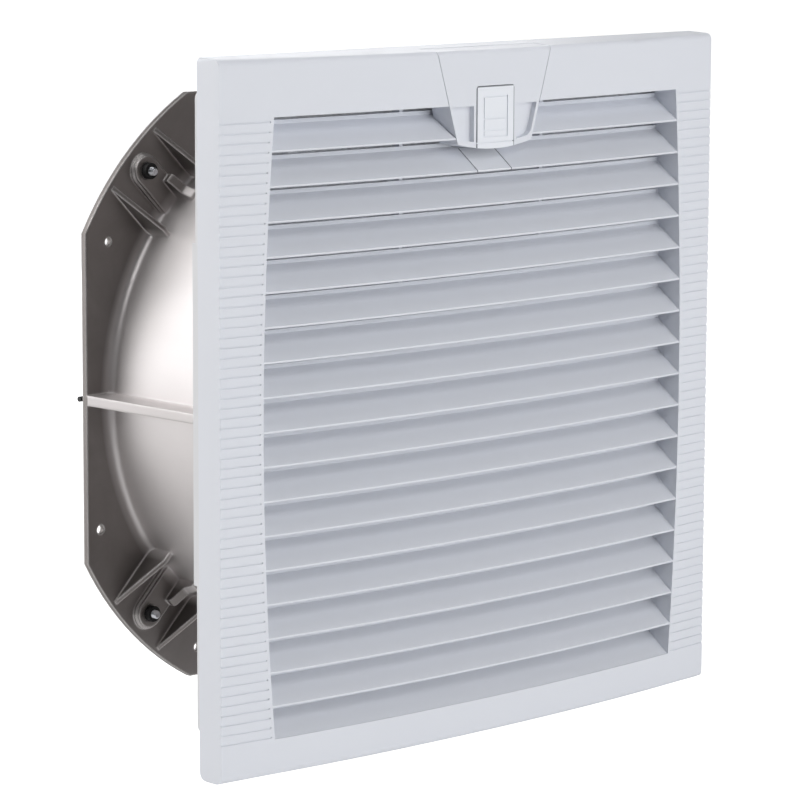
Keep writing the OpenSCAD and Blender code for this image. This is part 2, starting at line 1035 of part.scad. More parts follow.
module rotor_shell() {
    color(CORE)
    difference() {
        union() {
            difference() {
                tube(shell_r, 0, shell_front, shell_back);
                tube(core_r + 0.6, 0, shell_front + 3, shell_back + 1);
            }
            tube(9, 0, shell_front, shell_front + 7);
        }
        tube(shaft_r, 0, shell_front + 1, shell_back);
    }
}

// A blade's section: X is the depth, Y runs round the hub
module blade_section() {
    camber_r = 78;
    chord = 62;
    rotate(52)
    translate([-camber_r + 6, 0])
    intersection() {
        difference() {
            circle(camber_r, $fn = 180);
            circle(camber_r - 2.6, $fn = 180);
        }
        translate([camber_r - 30, -chord / 2])
        square([60, chord]);
    }
}

module impeller() {
    color(BLACK)
    union() {
        tube(hub_r, shell_r, hub_front, hub_back);
        intersection() {
            tube(tip_r, hub_r - 1, hub_front - 20, hub_back + 20);
            for (k = [0 : blades - 1])
                rotate_on_axis(k * 360 / blades + 10)
                translate([hub_r - 3, (hub_front + hub_back) / 2, axis_z])
                rotate([90, 0, 90])
                linear_extrude(tip_r - hub_r + 20)
                blade_section();
        }
    }
}

module motor_screws() {
    color(STEEL)
    for (a = [45 : 90 : 315])
        rotate_on_axis(a) {
            rod_y(base_screw_r, axis_z, 2, collar_back - base_t + 0.5, plate_back + 0.5);
            rod_y(base_screw_r, axis_z, 3.6, plate_back, plate_back + 2.4);
        }
}

module terminal_box() {
    color(BLACK)
    difference() {
        plate(plate_back, lid_back - lid_t)
        translate([0, axis_z])
        round_square(box_w, box_h, 4);
        difference() {
            plate(plate_back + 2, lid_back)
            translate([0, axis_z])
            round_square(box_w - 4, box_h - 4, 2.5);
            for (s = [-1, 1])
                rod_y(s * box_screw_x, axis_z, 3.6, plate_back, lid_back);
        }
        for (s = [-1, 1])
            rod_y(s * box_screw_x, axis_z, 1.6, plate_back - 1, lid_back);
        translate([0, gland_y, axis_z - box_h / 2 - 1])
        cylinder(r = 6, h = 4);
    }
}

module terminal_lid() {
    color(BLACK)
    difference() {
        plate(lid_back - lid_t, lid_back)
        translate([0, axis_z])
        round_square(box_w, box_h, 4);
        for (s = [-1, 1]) {
            rod_y(s * box_screw_x, axis_z, 1.6, lid_back - 3, lid_back + 1);
            rod_y(s * box_screw_x, axis_z, 3, lid_back - 1.2, lid_back + 1);
        }
    }
}

module lid_screws() {
    color(STEEL)
    for (s = [-1, 1])
        difference() {
            union() {
                rod_y(s * box_screw_x, axis_z, 1.5, plate_back - 2, lid_back - 0.6);
                rod_y(s * box_screw_x, axis_z, 2.8, lid_back - 1.2, lid_back);
            }
            translate([s * box_screw_x - 3, lid_back - 0.6, axis_z - 0.4])
            cube([6, 1, 0.8]);
        }
}

module terminal_block() {
    color(WHITE)
    difference() {
        plate(plate_back + 2, plate_back + 13)
        translate([0, axis_z + 4])
        square([33, 16], center = true);
        for (x = [-11, 0, 11]) {
            rod_y(x, axis_z + 8, 2.2, plate_back + 6, plate_back + 14);
            translate([x, plate_back + 6, axis_z - 5])
            cylinder(r = 2, h = 8);
        }
    }
}

module cable_gland() {
    z0 = axis_z - box_h / 2;
    color(BLACK)
    translate([0, gland_y, z0])
    difference() {
        union() {
            translate([0, 0, -4])
            cylinder(r = 9.5, h = 4, $fn = 6);
            translate([0, 0, -13])
            cylinder(r = 8, h = 9);
            translate([0, 0, -18])
            cylinder(r = 9, h = 9, $fn = 6);
            cylinder(r = 6, h = 2);
        }
        translate([0, 0, -19])
        cylinder(r = 4, h = 22);
    }
}

louvre_cover();
release_panel();
release_button();
button_spring();
slat_insert();
panel_screws();
hinge_pins();
mounting_frame();
latch_tongue();
panel_gasket();
filter_mat();
support_grid();
fan_housing();
housing_screws();
corner_grommets();
corner_screws();
rear_guard();
motor_base();
stator_core();
stator_windings();
motor_shaft();
front_bearing();
rear_bearing();
rotor_shell();
impeller();
motor_screws();
terminal_box();
terminal_lid();
lid_screws();
terminal_block();
cable_gland();
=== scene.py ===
# %% [markdown]
# This lesson dresses a cabinet filter fan: a pale grey louvred cover in front of a diecast axial fan.
# The solids come from a CAD frame in metres, with X to the right, Y into the cabinet and Z up.
# Only looks are added here, so every solid stays where the frame puts it.

# %% Load the frame
import math

import bmesh
import bpy
import numpy as np
from mathutils import Matrix, Vector, noise


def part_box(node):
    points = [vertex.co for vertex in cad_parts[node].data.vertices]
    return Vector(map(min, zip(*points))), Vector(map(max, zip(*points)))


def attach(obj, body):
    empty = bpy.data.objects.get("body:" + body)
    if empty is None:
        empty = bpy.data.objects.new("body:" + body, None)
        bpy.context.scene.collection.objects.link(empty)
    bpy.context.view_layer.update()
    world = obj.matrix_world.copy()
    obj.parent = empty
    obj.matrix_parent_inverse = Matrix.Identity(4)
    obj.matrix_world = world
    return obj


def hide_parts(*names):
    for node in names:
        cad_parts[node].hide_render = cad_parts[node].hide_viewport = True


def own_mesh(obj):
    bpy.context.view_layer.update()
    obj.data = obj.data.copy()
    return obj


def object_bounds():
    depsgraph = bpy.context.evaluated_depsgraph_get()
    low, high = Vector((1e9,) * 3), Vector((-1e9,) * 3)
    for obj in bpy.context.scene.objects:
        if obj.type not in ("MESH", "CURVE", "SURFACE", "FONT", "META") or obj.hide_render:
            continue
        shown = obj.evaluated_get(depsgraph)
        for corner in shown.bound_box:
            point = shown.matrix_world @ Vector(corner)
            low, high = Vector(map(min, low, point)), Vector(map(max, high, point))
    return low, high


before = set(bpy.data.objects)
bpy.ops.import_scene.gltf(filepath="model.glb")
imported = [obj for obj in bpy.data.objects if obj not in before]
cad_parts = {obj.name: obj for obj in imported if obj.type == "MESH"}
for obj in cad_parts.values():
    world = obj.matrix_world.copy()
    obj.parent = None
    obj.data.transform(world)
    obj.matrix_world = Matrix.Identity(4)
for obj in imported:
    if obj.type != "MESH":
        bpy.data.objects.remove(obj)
cad_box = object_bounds()
mm = 0.001

# %% [markdown]
# The camera comes first, because every comparison with the photograph depends on it.
# A long lens from the front left and a little above shows the bowed cover with the diecast flange behind it.
# The distance and the lens were worked out from the cover's corners, so the lines converge as in the photograph.

# %% Camera
def around(azimuth, elevation, distance):
    a, e = math.radians(azimuth), math.radians(elevation)
    return Vector((math.sin(a) * math.cos(e), -math.cos(a) * math.cos(e), math.sin(e))) * distance


def photo_camera(azimuth, elevation, roll, distance, target, lens):
    back = around(azimuth, elevation, 1)
    right = Vector((math.cos(math.radians(azimuth)), math.sin(math.radians(azimuth)), 0))
    up = back.cross(right)
    turn = Matrix((right, up, back)).transposed() @ Matrix.Rotation(math.radians(roll), 3, "Z")
    data = bpy.data.cameras.new("photo_camera")
    data.lens = lens
    data.sensor_width = 36
    data.clip_start, data.clip_end = 0.05, 50
    camera = bpy.data.objects.new("photo_camera", data)
    camera.matrix_world = Matrix.Translation(Vector(target) + back * distance) @ turn.to_4x4()
    bpy.context.scene.collection.objects.link(camera)
    bpy.context.scene.camera = camera
    return camera


camera = photo_camera(azimuth=-44.156, elevation=8.63, roll=0.21, distance=1.7905,
                      target=(-0.03723, 0, -0.00182), lens=174.13)
print("camera", [round(x, 3) for x in camera.location])

# %% [markdown]
# Paper, light and finishes are all drawn with nodes, and most of those nodes do one sum.
# Adding and linking each by hand takes four lines, so two helpers do it.
# A value may be a plain number or the output of another node, and the helper sees which of the two it is.

# %% Node helpers
def wire(tree, source, target):
    if hasattr(source, "is_linked"):
        tree.links.new(source, target)
    else:
        target.default_value = source


def calc(tree, operation, *values):
    node = tree.nodes.new("ShaderNodeMath")
    node.operation = operation
    for socket, value in zip(node.inputs, values):
        wire(tree, value, socket)
    return node.outputs[0]


print("node helpers ready")

# %% [markdown]
# The studio is a white sweep: one bent sheet, a floor that curves up into a wall, so no horizon shows behind the part.
# A flat plane would do for the floor, but its far edge would show as a line at this low camera height.
# The floor lies a little under the part, because the open cover reaches below the part's lower edge.
# The paper glows: most for the camera, which makes it white in the picture, and less for the light that it throws back.

# %% Floor and backdrop
OPEN_COVER_ROOM = 45 * mm
BEND_START, BEND_RADIUS = 2.2, 1.2
SQUARE_TO_CAMERA = math.radians(-44)
PAPER_GLOW, CAMERA_GLOW, MIRROR_GLOW = 0.25, 0.67, 0.1


def bent_sheet(name, width, profile):
    mesh = bpy.data.meshes.new(name)
    sheet = bmesh.new()
    rows = [[sheet.verts.new((x, y, z)) for x in (-width, width)] for y, z in profile]
    for (a, b), (c, d) in zip(rows, rows[1:]):
        sheet.faces.new((a, b, d, c)).smooth = True
    sheet.to_mesh(mesh)
    sheet.free()
    made = bpy.data.objects.new(name, mesh)
    bpy.context.scene.collection.objects.link(made)
    return made


floor_z = cad_box[0][2] - OPEN_COVER_ROOM
bend = [(BEND_START + BEND_RADIUS * math.sin(t), floor_z + BEND_RADIUS - BEND_RADIUS * math.cos(t))
        for t in np.linspace(0, math.pi / 2, 24)]
sweep = bent_sheet("studio_sweep", 3.5, [(-0.75, floor_z), *bend, (BEND_START + BEND_RADIUS, floor_z + 3)])
sweep.rotation_euler = (0, 0, SQUARE_TO_CAMERA)
paper = bpy.data.materials.new("backdrop_paper")
paper.use_nodes = True
paper_shader = paper.node_tree.nodes["Principled BSDF"]
paper_shader.inputs["Base Color"].default_value = (0.5, 0.5, 0.5, 1)
paper_shader.inputs["Roughness"].default_value = 0.9
paper_shader.inputs["Specular IOR Level"].default_value = 0.1
paper_shader.inputs["Emission Color"].default_value = (1, 1, 1, 1)
ray = paper.node_tree.nodes.new("ShaderNodeLightPath").outputs
glow = calc(paper.node_tree, "MULTIPLY_ADD", ray["Is Camera Ray"], CAMERA_GLOW, PAPER_GLOW)
glow = calc(paper.node_tree, "MULTIPLY_ADD", ray["Is Glossy Ray"], MIRROR_GLOW, glow)
wire(paper.node_tree, glow, paper_shader.inputs["Emission Strength"])
sweep.data.materials.append(paper)
print("floor at", round(floor_z, 4))

# %% [markdown]
# Soft light is light from a large area.
# Three boxes in front light the cover: a strong one a little to the right, a weak one further right and one from above.
# Bare metal shows what stands around it, so the casting has cards of its own on the left, behind the cover.
# A box that is hidden from glossy rays lights the plastic without showing in the metal, and drum_glint, which is hidden
# from diffuse rays, does the opposite. That way the two can be balanced one at a time.

# %% Lights
def soft_box(name, place, size, watts, aim=(0, 0, 0)):
    data = bpy.data.lights.new(name, "AREA")
    data.shape = "RECTANGLE"
    data.size, data.size_y = size
    data.energy = watts
    box = bpy.data.objects.new(name, data)
    box.location = place
    box.rotation_euler = (Vector(aim) - Vector(place)).to_track_quat("-Z", "Y").to_euler()
    bpy.context.scene.collection.objects.link(box)
    return box


soft_box("front_box", around(10, 6, 2.3), (1.5, 1.2), 23.5)
soft_box("right_box", around(48, 6, 2.3), (1.2, 1.2), 5)
upper_box = soft_box("upper_box", around(-14, 36, 2.2), (1.2, 0.8), 10.5)
soft_box("back_card", around(-130, 20, 1.6), (1.4, 2.4), 20, aim=(-0.1, 0.1, 0))
side_card = soft_box("side_card", around(-116, 26, 1.8), (1.0, 1.0), 8)
drum_glint = soft_box("drum_glint", around(-102, 42, 2.2), (1.4, 1.0), 17)
soft_box("rear_box", around(150, 10, 2.2), (1.4, 1.0), 14)
soft_box("top_box", around(-44, 85, 2.2), (1.6, 1.6), 14)
side_card.data.color = (1.0, 0.97, 0.93)
upper_box.visible_glossy = side_card.visible_glossy = False
drum_glint.visible_diffuse = False

# %% [markdown]
# Behind the sweep's edges the camera would see an empty world.
# A white world would fill that, but it would also light the object from all sides and wash out the slats.
# So the world is white for the camera and almost dark for everything else.

# %% Air of the studio
AIR_LIGHT = 0.05
world = bpy.data.worlds.new("studio_air")
world.use_nodes = True
air = world.node_tree.nodes["Background"]
air.inputs["Color"].default_value = (1, 1, 1, 1)
ray = world.node_tree.nodes.new("ShaderNodeLightPath").outputs
strength = calc(world.node_tree, "MULTIPLY_ADD", ray["Is Camera Ray"], 1 - AIR_LIGHT, AIR_LIGHT)
wire(world.node_tree, strength, air.inputs["Strength"])
bpy.context.scene.world = world
bpy.context.scene.view_settings.view_transform = "Standard"
print("air lights with", AIR_LIGHT)

# %% [markdown]
# Finishes that share an effect share a node group.
# A group takes plain numbers and colours in, and puts out a colour, a roughness and a height.
# The small builder below makes the sockets, so each group reads as a list of its inputs and outputs.

# %% Group builder
KINDS = {"colour": "NodeSocketColor", "value": "NodeSocketFloat", "vector": "NodeSocketVector"}
SKIN_OUTPUTS = [("Colour", "colour"), ("Roughness", "value"), ("Height", "value")]


def effect_group(name, inputs, outputs):
    group = bpy.data.node_groups.new(name, "ShaderNodeTree")
    for label, kind, start in inputs:
        group.interface.new_socket(name=label, in_out="INPUT", socket_type=KINDS[kind]).default_value = start
    for label, kind in outputs:
        group.interface.new_socket(name=label, in_out="OUTPUT", socket_type=KINDS[kind])
    return group, group.nodes.new("NodeGroupInput").outputs, group.nodes.new("NodeGroupOutput").inputs


def spot_on_piece(tree):
    return tree.nodes.new("ShaderNodeTexCoord").outputs["Object"]


def spot_in_xyz(tree):
    node = tree.nodes.new("ShaderNodeSeparateXYZ")
    tree.links.new(spot_on_piece(tree), node.inputs[0])
    return node.outputs


def speckle(tree, per_metre, detail=2.0, rough=0.5, distortion=0.0, stretch=None):
    spot = spot_on_piece(tree)
    if stretch:
        stretched = tree.nodes.new("ShaderNodeMapping")
        stretched.inputs["Scale"].default_value = stretch
        tree.links.new(spot, stretched.inputs["Vector"])
        spot = stretched.outputs["Vector"]
    node = tree.nodes.new("ShaderNodeTexNoise")
    tree.links.new(spot, node.inputs["Vector"])
    wire(tree, per_metre, node.inputs["Scale"])
    node.inputs["Detail"].default_value = detail
    node.inputs["Roughness"].default_value = rough
    node.inputs["Distortion"].default_value = distortion
    return node.outputs["Fac"]


def vary(tree, level, pattern, swing):
    return calc(tree, "MULTIPLY_ADD", calc(tree, "SUBTRACT", pattern, 0.5), swing, level)


def hold_0_to_1(tree, value):
    return calc(tree, "MINIMUM", calc(tree, "MAXIMUM", value, 0.0), 1.0)


def blend_colour(tree, share, a, b):
    node = tree.nodes.new("ShaderNodeMix")
    node.data_type = "RGBA"
    factor, first, second = [x for x in node.inputs if x.enabled]
    wire(tree, share, factor)
    wire(tree, a, first)
    wire(tree, b, second)
    return [x for x in node.outputs if x.enabled][0]


print("group builder ready")

# %% [markdown]
# A moulded skin is what a spark-eroded tool leaves on plastic: a very fine grain, and a faint cloudiness from the melt.
# It could be a bump alone, but then the plastic would look freshly washed.
# So the group also moves the colour and the roughness a little.

# %% Moulded skin
moulded_skin, given, result = effect_group(
    "moulded_skin",
    [("Colour", "colour", (0.8, 0.8, 0.8, 1)), ("Cloud Colour", "colour", (0.7, 0.7, 0.7, 1)),
     ("Cloud", "value", 0.3), ("Roughness", "value", 0.4), ("Grain Size", "value", 0.0005)], SKIN_OUTPUTS)
grain = speckle(moulded_skin, calc(moulded_skin, "DIVIDE", 1.0, given["Grain Size"]), detail=3.0)
cloud = speckle(moulded_skin, per_metre=22.0, detail=4.0, rough=0.55)
cloud_share = calc(moulded_skin, "MULTIPLY", cloud, given["Cloud"])
clouded = blend_colour(moulded_skin, cloud_share, given["Colour"], given["Cloud Colour"])
uneven = vary(moulded_skin, vary(moulded_skin, given["Roughness"], grain, swing=0.12), cloud, swing=0.10)
moulded_skin.links.new(clouded, result["Colour"])
moulded_skin.links.new(uneven, result["Roughness"])
moulded_skin.links.new(grain, result["Height"])
print("group", moulded_skin.name, len(moulded_skin.nodes), "nodes")

# %% [markdown]
# Diecast metal freezes in a smooth steel tool, so it is fairly bright, with flow marks, small pits and a grey oxide.
# On this casting the drum is turned bright. The flange with its bosses and gussets lies in the cover's shade, and that
# shade is painted as a darker colour. Two materials would need the mesh cut in two, so the group measures the distance
# from the fan's axis instead, and goes over to the painted shade colour outside the drum. The two side webs lie outside
# the drum too, but they catch the light and stay mostly bright.
# The turned motor parts and the steel use the same group with a drum that is larger than they are.

# %% Cast skin
shaft_low, shaft_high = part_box("motor_shaft")
FAN_AXIS_Z = (shaft_low[2] + shaft_high[2]) / 2
FLANGE_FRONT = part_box("fan_housing")[1][1] - 3.5 * mm
DRUM_RADIUS, DRUM_BLEND = 125.7 * mm, 6 * mm
WEB_HALF, WEB_PAINTED_SHADE_SHARE = 4 * mm, 0.3
NO_DRUM = 10.0
cast_skin, given, result = effect_group(
    "cast_skin",
    [("Colour", "colour", (0.6, 0.6, 0.6, 1)), ("Oxide", "colour", (0.4, 0.4, 0.4, 1)),
     ("Oxide Share", "value", 0.5), ("Roughness", "value", 0.35), ("Pit Size", "value", 0.0012),
     ("Drum Radius", "value", NO_DRUM), ("Painted Shade Colour", "colour", (0.2, 0.2, 0.2, 1))], SKIN_OUTPUTS)
flow = speckle(cast_skin, per_metre=30.0, detail=5.0, rough=0.6, distortion=1.2, stretch=(1, 0.25, 1))
pits = speckle(cast_skin, calc(cast_skin, "DIVIDE", 1.0, given["Pit Size"]), detail=3.0, rough=0.6)
spot = spot_in_xyz(cast_skin)
height = calc(cast_skin, "SUBTRACT", spot["Z"], FAN_AXIS_Z)
across = calc(cast_skin, "MULTIPLY", spot["X"], spot["X"])
radius = calc(cast_skin, "SQRT", calc(cast_skin, "MULTIPLY_ADD", height, height, across))
# Painted shade: outside the drum the colour goes over to a darker one, for the shade on the flange.
past_drum = calc(cast_skin, "SUBTRACT", radius, given["Drum Radius"])
painted_shade_share = hold_0_to_1(cast_skin, calc(cast_skin, "DIVIDE", past_drum, DRUM_BLEND))
off_web = calc(cast_skin, "GREATER_THAN", calc(cast_skin, "ABSOLUTE", height), WEB_HALF)
on_flange = calc(cast_skin, "GREATER_THAN", spot["Y"], FLANGE_FRONT)
painted_shade_place = calc(cast_skin, "MAXIMUM", calc(cast_skin, "MAXIMUM", off_web, on_flange), WEB_PAINTED_SHADE_SHARE)
painted_shade_share = calc(cast_skin, "MULTIPLY", painted_shade_share, painted_shade_place)
painted_shade_share = calc(cast_skin, "MULTIPLY", painted_shade_share, calc(cast_skin, "MULTIPLY_ADD", flow, -0.2, 1.05))
oxide_share = calc(cast_skin, "MULTIPLY", flow, given["Oxide Share"])
bright = blend_colour(cast_skin, oxide_share, given["Colour"], given["Oxide"])
uneven = vary(cast_skin, vary(cast_skin, given["Roughness"], pits, swing=0.10), flow, swing=0.14)
cast_skin.links.new(blend_colour(cast_skin, painted_shade_share, bright, given["Painted Shade Colour"]), result["Colour"])
cast_skin.links.new(uneven, result["Roughness"])
cast_skin.links.new(calc(cast_skin, "MULTIPLY_ADD", flow, 0.6, pits), result["Height"])
print("group", cast_skin.name, len(cast_skin.nodes), "nodes")

# %% [markdown]
# Bonded fleece is a tangle of long fibres that lie in the plane of the mat and cross at every angle.
# Real strands by the thousand would be heavy, so the tangle is drawn with noise stretched along five directions.
# Where the noise passes its middle value it leaves a thin wandering line, and that line is the fibre.

# %% Fibre lay
FIBRE_STRETCH, FIBRE_THINNESS = 16.0, 16.0
fibre_lay, given, result = effect_group(
    "fibre_lay",
    [("Colour", "colour", (0.9, 0.9, 0.9, 1)), ("Shade", "colour", (0.6, 0.6, 0.6, 1)),
     ("Roughness", "value", 0.9), ("Fibre Size", "value", 0.0012)], SKIN_OUTPUTS)


def strands(tree, per_metre, angle, shift):
    turned = tree.nodes.new("ShaderNodeMapping")
    turned.vector_type = "TEXTURE"
    turned.inputs["Location"].default_value = (shift, shift, 0)
    turned.inputs["Rotation"].default_value = (0, math.radians(angle), 0)
    turned.inputs["Scale"].default_value = (1, 1, FIBRE_STRETCH)
    tree.links.new(spot_on_piece(tree), turned.inputs["Vector"])
    node = tree.nodes.new("ShaderNodeTexNoise")
    node.inputs["Detail"].default_value = 1.5
    node.inputs["Distortion"].default_value = 0.6
    tree.links.new(turned.outputs["Vector"], node.inputs["Vector"])
    wire(tree, per_metre, node.inputs["Scale"])
    off_middle = calc(tree, "ABSOLUTE", calc(tree, "SUBTRACT", node.outputs["Fac"], 0.5))
    line = calc(tree, "SUBTRACT", 1.0, calc(tree, "MULTIPLY", off_middle, FIBRE_THINNESS))
    return calc(tree, "MAXIMUM", line, 0.0)


per_metre = calc(fibre_lay, "DIVIDE", 1.0, given["Fibre Size"])
tangle = strands(fibre_lay, per_metre, 8, 0.0)
for k, angle in enumerate((47, 83, 119, 158)):
    tangle = calc(fibre_lay, "MAXIMUM", tangle, strands(fibre_lay, per_metre, angle, 0.31 * (k + 1)))
clumps = speckle(fibre_lay, per_metre=60.0, detail=4.0, rough=0.6)
light_share = calc(fibre_lay, "MULTIPLY_ADD", tangle, 0.6, calc(fibre_lay, "MULTIPLY", clumps, 0.55))
fibre_lay.links.new(blend_colour(fibre_lay, light_share, given["Shade"], given["Colour"]), result["Colour"])
fibre_lay.links.new(vary(fibre_lay, given["Roughness"], clumps, swing=0.08), result["Roughness"])
fibre_lay.links.new(calc(fibre_lay, "MULTIPLY_ADD", clumps, 0.8, tangle), result["Height"])
print("group", fibre_lay.name, len(fibre_lay.nodes), "nodes")

# %% [markdown]
# Cut foam shows open cells, and a powder coat shows small round blisters: both are a field of cells.
# A Voronoi texture gives the distance to the nearest cell centre, which serves as a colour mask and as a height.
# From foam to powder it is mainly the cell size and the depth that change.

# %% Cell skin
cell_skin, given, result = effect_group(
    "cell_skin",
    [("Colour", "colour", (0.1, 0.1, 0.1, 1)), ("Pit Colour", "colour", (0.02, 0.02, 0.02, 1)),
     ("Roughness", "value", 0.6), ("Cell Size", "value", 0.0008)], SKIN_OUTPUTS)
cells = cell_skin.nodes.new("ShaderNodeTexVoronoi")
cell_skin.links.new(spot_on_piece(cell_skin), cells.inputs["Vector"])
cell_skin.links.new(calc(cell_skin, "DIVIDE", 1.0, given["Cell Size"]), cells.inputs["Scale"])
dust = speckle(cell_skin, per_metre=45.0, detail=4.0, rough=0.6)
dusty = calc(cell_skin, "MULTIPLY", cells.outputs["Distance"], dust)
cell_skin.links.new(blend_colour(cell_skin, dusty, given["Pit Colour"], given["Colour"]), result["Colour"])
cell_skin.links.new(vary(cell_skin, given["Roughness"], dust, swing=0.18), result["Roughness"])
cell_skin.links.new(cells.outputs["Distance"], result["Height"])
print("group", cell_skin.name, len(cell_skin.nodes), "nodes")

# %% [markdown]
# Where one moulding is let into another, the narrow gap between them stays in shade.
# The gap itself is in the solids, but it is only two tenths of a millimetre wide, thinner than a pixel of the picture.
# The group puts out a mask along the sides of a piece, so that the finish can paint that shade there, darker by a
# chosen amount.

# %% Gap shade
MASK_STEEPNESS = 3.0
gap_shade, given, result = effect_group(
    "gap_shade",
    [("Left", "value", -1.0), ("Right", "value", 1.0), ("Top", "value", 1.0), ("Width", "value", 0.0005)],
    [("Mask", "value")])
spot = spot_in_xyz(gap_shade)
left_line = calc(gap_shade, "ADD", given["Left"], given["Width"])
right_line = calc(gap_shade, "SUBTRACT", given["Right"], given["Width"])
top_line = calc(gap_shade, "SUBTRACT", given["Top"], given["Width"])
past_side = calc(gap_shade, "MAXIMUM", calc(gap_shade, "SUBTRACT", left_line, spot["X"]),
                 calc(gap_shade, "SUBTRACT", spot["X"], right_line))
past_line = calc(gap_shade, "MAXIMUM", past_side, calc(gap_shade, "SUBTRACT", spot["Z"], top_line))
steep = calc(gap_shade, "MULTIPLY", calc(gap_shade, "DIVIDE", past_line, given["Width"]), MASK_STEEPNESS)
gap_shade.links.new(hold_0_to_1(gap_shade, steep), result["Mask"])
print("group", gap_shade.name, len(gap_shade.nodes), "nodes")

# %% [markdown]
# A casting comes out of its die with rounded edges, and those edges catch the light.
# A Bevel modifier would be the first thought, but between the small faces of the bosses it makes faces that cross.
# So the Bevel node looks round each point for an edge: it gives a rounded normal, and where that normal leaves the
# flat one the surface is near an edge. The group puts out both. The mask, broken up by noise, paints a highlight on the
# edges.

# %% Edge highlight
edge_highlight, given, result = effect_group(
    "edge_highlight", [("Radius", "value", 0.001), ("Amount", "value", 5.0)], [("Mask", "value"), ("Normal", "vector")])
rounded = edge_highlight.nodes.new("ShaderNodeBevel")
rounded.samples = 6
edge_highlight.links.new(given["Radius"], rounded.inputs["Radius"])
agree = edge_highlight.nodes.new("ShaderNodeVectorMath")
agree.operation = "DOT_PRODUCT"
edge_highlight.links.new(rounded.outputs["Normal"], agree.inputs[0])
edge_highlight.links.new(edge_highlight.nodes.new("ShaderNodeNewGeometry").outputs["Normal"], agree.inputs[1])
bent = calc(edge_highlight, "SUBTRACT", 1.0, agree.outputs["Value"])
near_edge = calc(edge_highlight, "MULTIPLY", bent, given["Amount"])
broken_up = calc(edge_highlight, "ADD", speckle(edge_highlight, per_metre=420.0, detail=3.0, rough=0.6), 0.45)
# Painted highlight: near an edge a lighter colour is blended in.
painted_highlight = calc(edge_highlight, "MULTIPLY", near_edge, broken_up)
edge_highlight.links.new(hold_0_to_1(edge_highlight, painted_highlight), result["Mask"])
edge_highlight.links.new(rounded.outputs["Normal"], result["Normal"])
print("group", edge_highlight.name, len(edge_highlight.nodes), "nodes")

# %% [markdown]
# A finish is one material: a Principled shader fed by one of the groups.
# Numbers that are the same all over, such as the specular level, are set on the shader itself.
# The height goes through a Bump node, whose distance is the real depth of the grain in metres.

# %% Finish builder
finishes = {}


def rgb(red, green, blue):
    def linear(v):
        v /= 255
        return v / 12.92 if v <= 0.04045 else ((v + 0.055) / 1.055) ** 2.4
    return (linear(red), linear(green), linear(blue), 1)


def place_group(tree, group, values):
    effect = tree.nodes.new("ShaderNodeGroup")
    effect.node_tree = group
    for label, value in values.items():
        effect.inputs[label].default_value = value
    return effect.outputs


def finish(name, group, values, depth, metallic=0.0, specular=0.5, sheen=0.0):
    made = bpy.data.materials.new(name)
    made.use_nodes = True
    tree = made.node_tree
    shader = tree.nodes["Principled BSDF"]
    shader.inputs["Metallic"].default_value = metallic
    shader.inputs["Specular IOR Level"].default_value = specular
    shader.inputs["Sheen Weight"].default_value = sheen
    effect = place_group(tree, group, values)
    tree.links.new(effect["Colour"], shader.inputs["Base Color"])
    tree.links.new(effect["Roughness"], shader.inputs["Roughness"])
    bump = tree.nodes.new("ShaderNodeBump")
    bump.inputs["Strength"].default_value = 1.0
    bump.inputs["Distance"].default_value = depth
    tree.links.new(effect["Height"], bump.inputs["Height"])
    tree.links.new(bump.outputs["Normal"], shader.inputs["Normal"])
    finishes[name] = made
    return made


def plastic(name, colour, cloud_colour, roughness, cloud=0.35, grain=0.45 * mm, depth=0.012 * mm, specular=0.45):
    return finish(name, moulded_skin, {
        "Colour": colour, "Cloud Colour": cloud_colour, "Cloud": cloud,
        "Roughness": roughness, "Grain Size": grain}, depth, specular=specular)


def metal(name, colour, oxide, roughness, oxide_share, pit=1.2 * mm, depth=0.02 * mm,
          drum=NO_DRUM, painted_shade=(0.2, 0.2, 0.2, 1), metallic=1.0):
    return finish(name, cast_skin, {
        "Colour": colour, "Oxide": oxide, "Oxide Share": oxide_share, "Roughness": roughness, "Pit Size": pit,
        "Drum Radius": drum, "Painted Shade Colour": painted_shade}, depth, metallic=metallic)


def celled(name, colour, pit_colour, roughness, cell, depth, specular):
    return finish(name, cell_skin, {
        "Colour": colour, "Pit Colour": pit_colour,
        "Roughness": roughness, "Cell Size": cell}, depth, specular=specular)


def fleece(name, colour, shade, fibre, depth):
    return finish(name, fibre_lay, {
        "Colour": colour, "Shade": shade, "Roughness": 0.92, "Fibre Size": fibre}, depth, specular=0.15, sheen=0.25)


print("finish builder ready")

# %% [markdown]
# Two effects lie on top of a finish: a painted highlight on the edges and painted shade in a gap.
# Each of them blends a second colour over the finish by its mask, so they are added to a finished material.
# The edge effect also hands its rounded normal to the Bump node, and the grain is then added to the round.

# %% Finishes over a finish
FAR_OFF = 1.0


def blend_over(material, mask, colour):
    base = material.node_tree.nodes["Principled BSDF"].inputs["Base Color"]
    plain = base.links[0].from_socket
    material.node_tree.links.new(blend_colour(material.node_tree, mask, plain, colour), base)
    return material


def highlight_edges(material, radius, colour, amount=5.0):
    tree = material.node_tree
    effect = place_group(tree, edge_highlight, {"Radius": radius, "Amount": amount})
    tree.links.new(effect["Normal"], tree.nodes["Bump"].inputs["Normal"])
    return blend_over(material, effect["Mask"], colour)


def shade_gaps(material, node, width, colour, along_top=False):
    low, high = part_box(node)
    top = high[2] if along_top else FAR_OFF
    effect = place_group(material.node_tree, gap_shade, {"Left": low[0], "Right": high[0], "Top": top, "Width": width})
    return blend_over(material, effect["Mask"], colour)


print("two effects ready")

# %% [markdown]
# One finish for each material slot of the record, and one more for the slat insert with its shaded gaps.
# The cover is a light grey plastic with a touch of blue, the button is whiter, and what lies behind is mostly black
# plastic or bare metal.

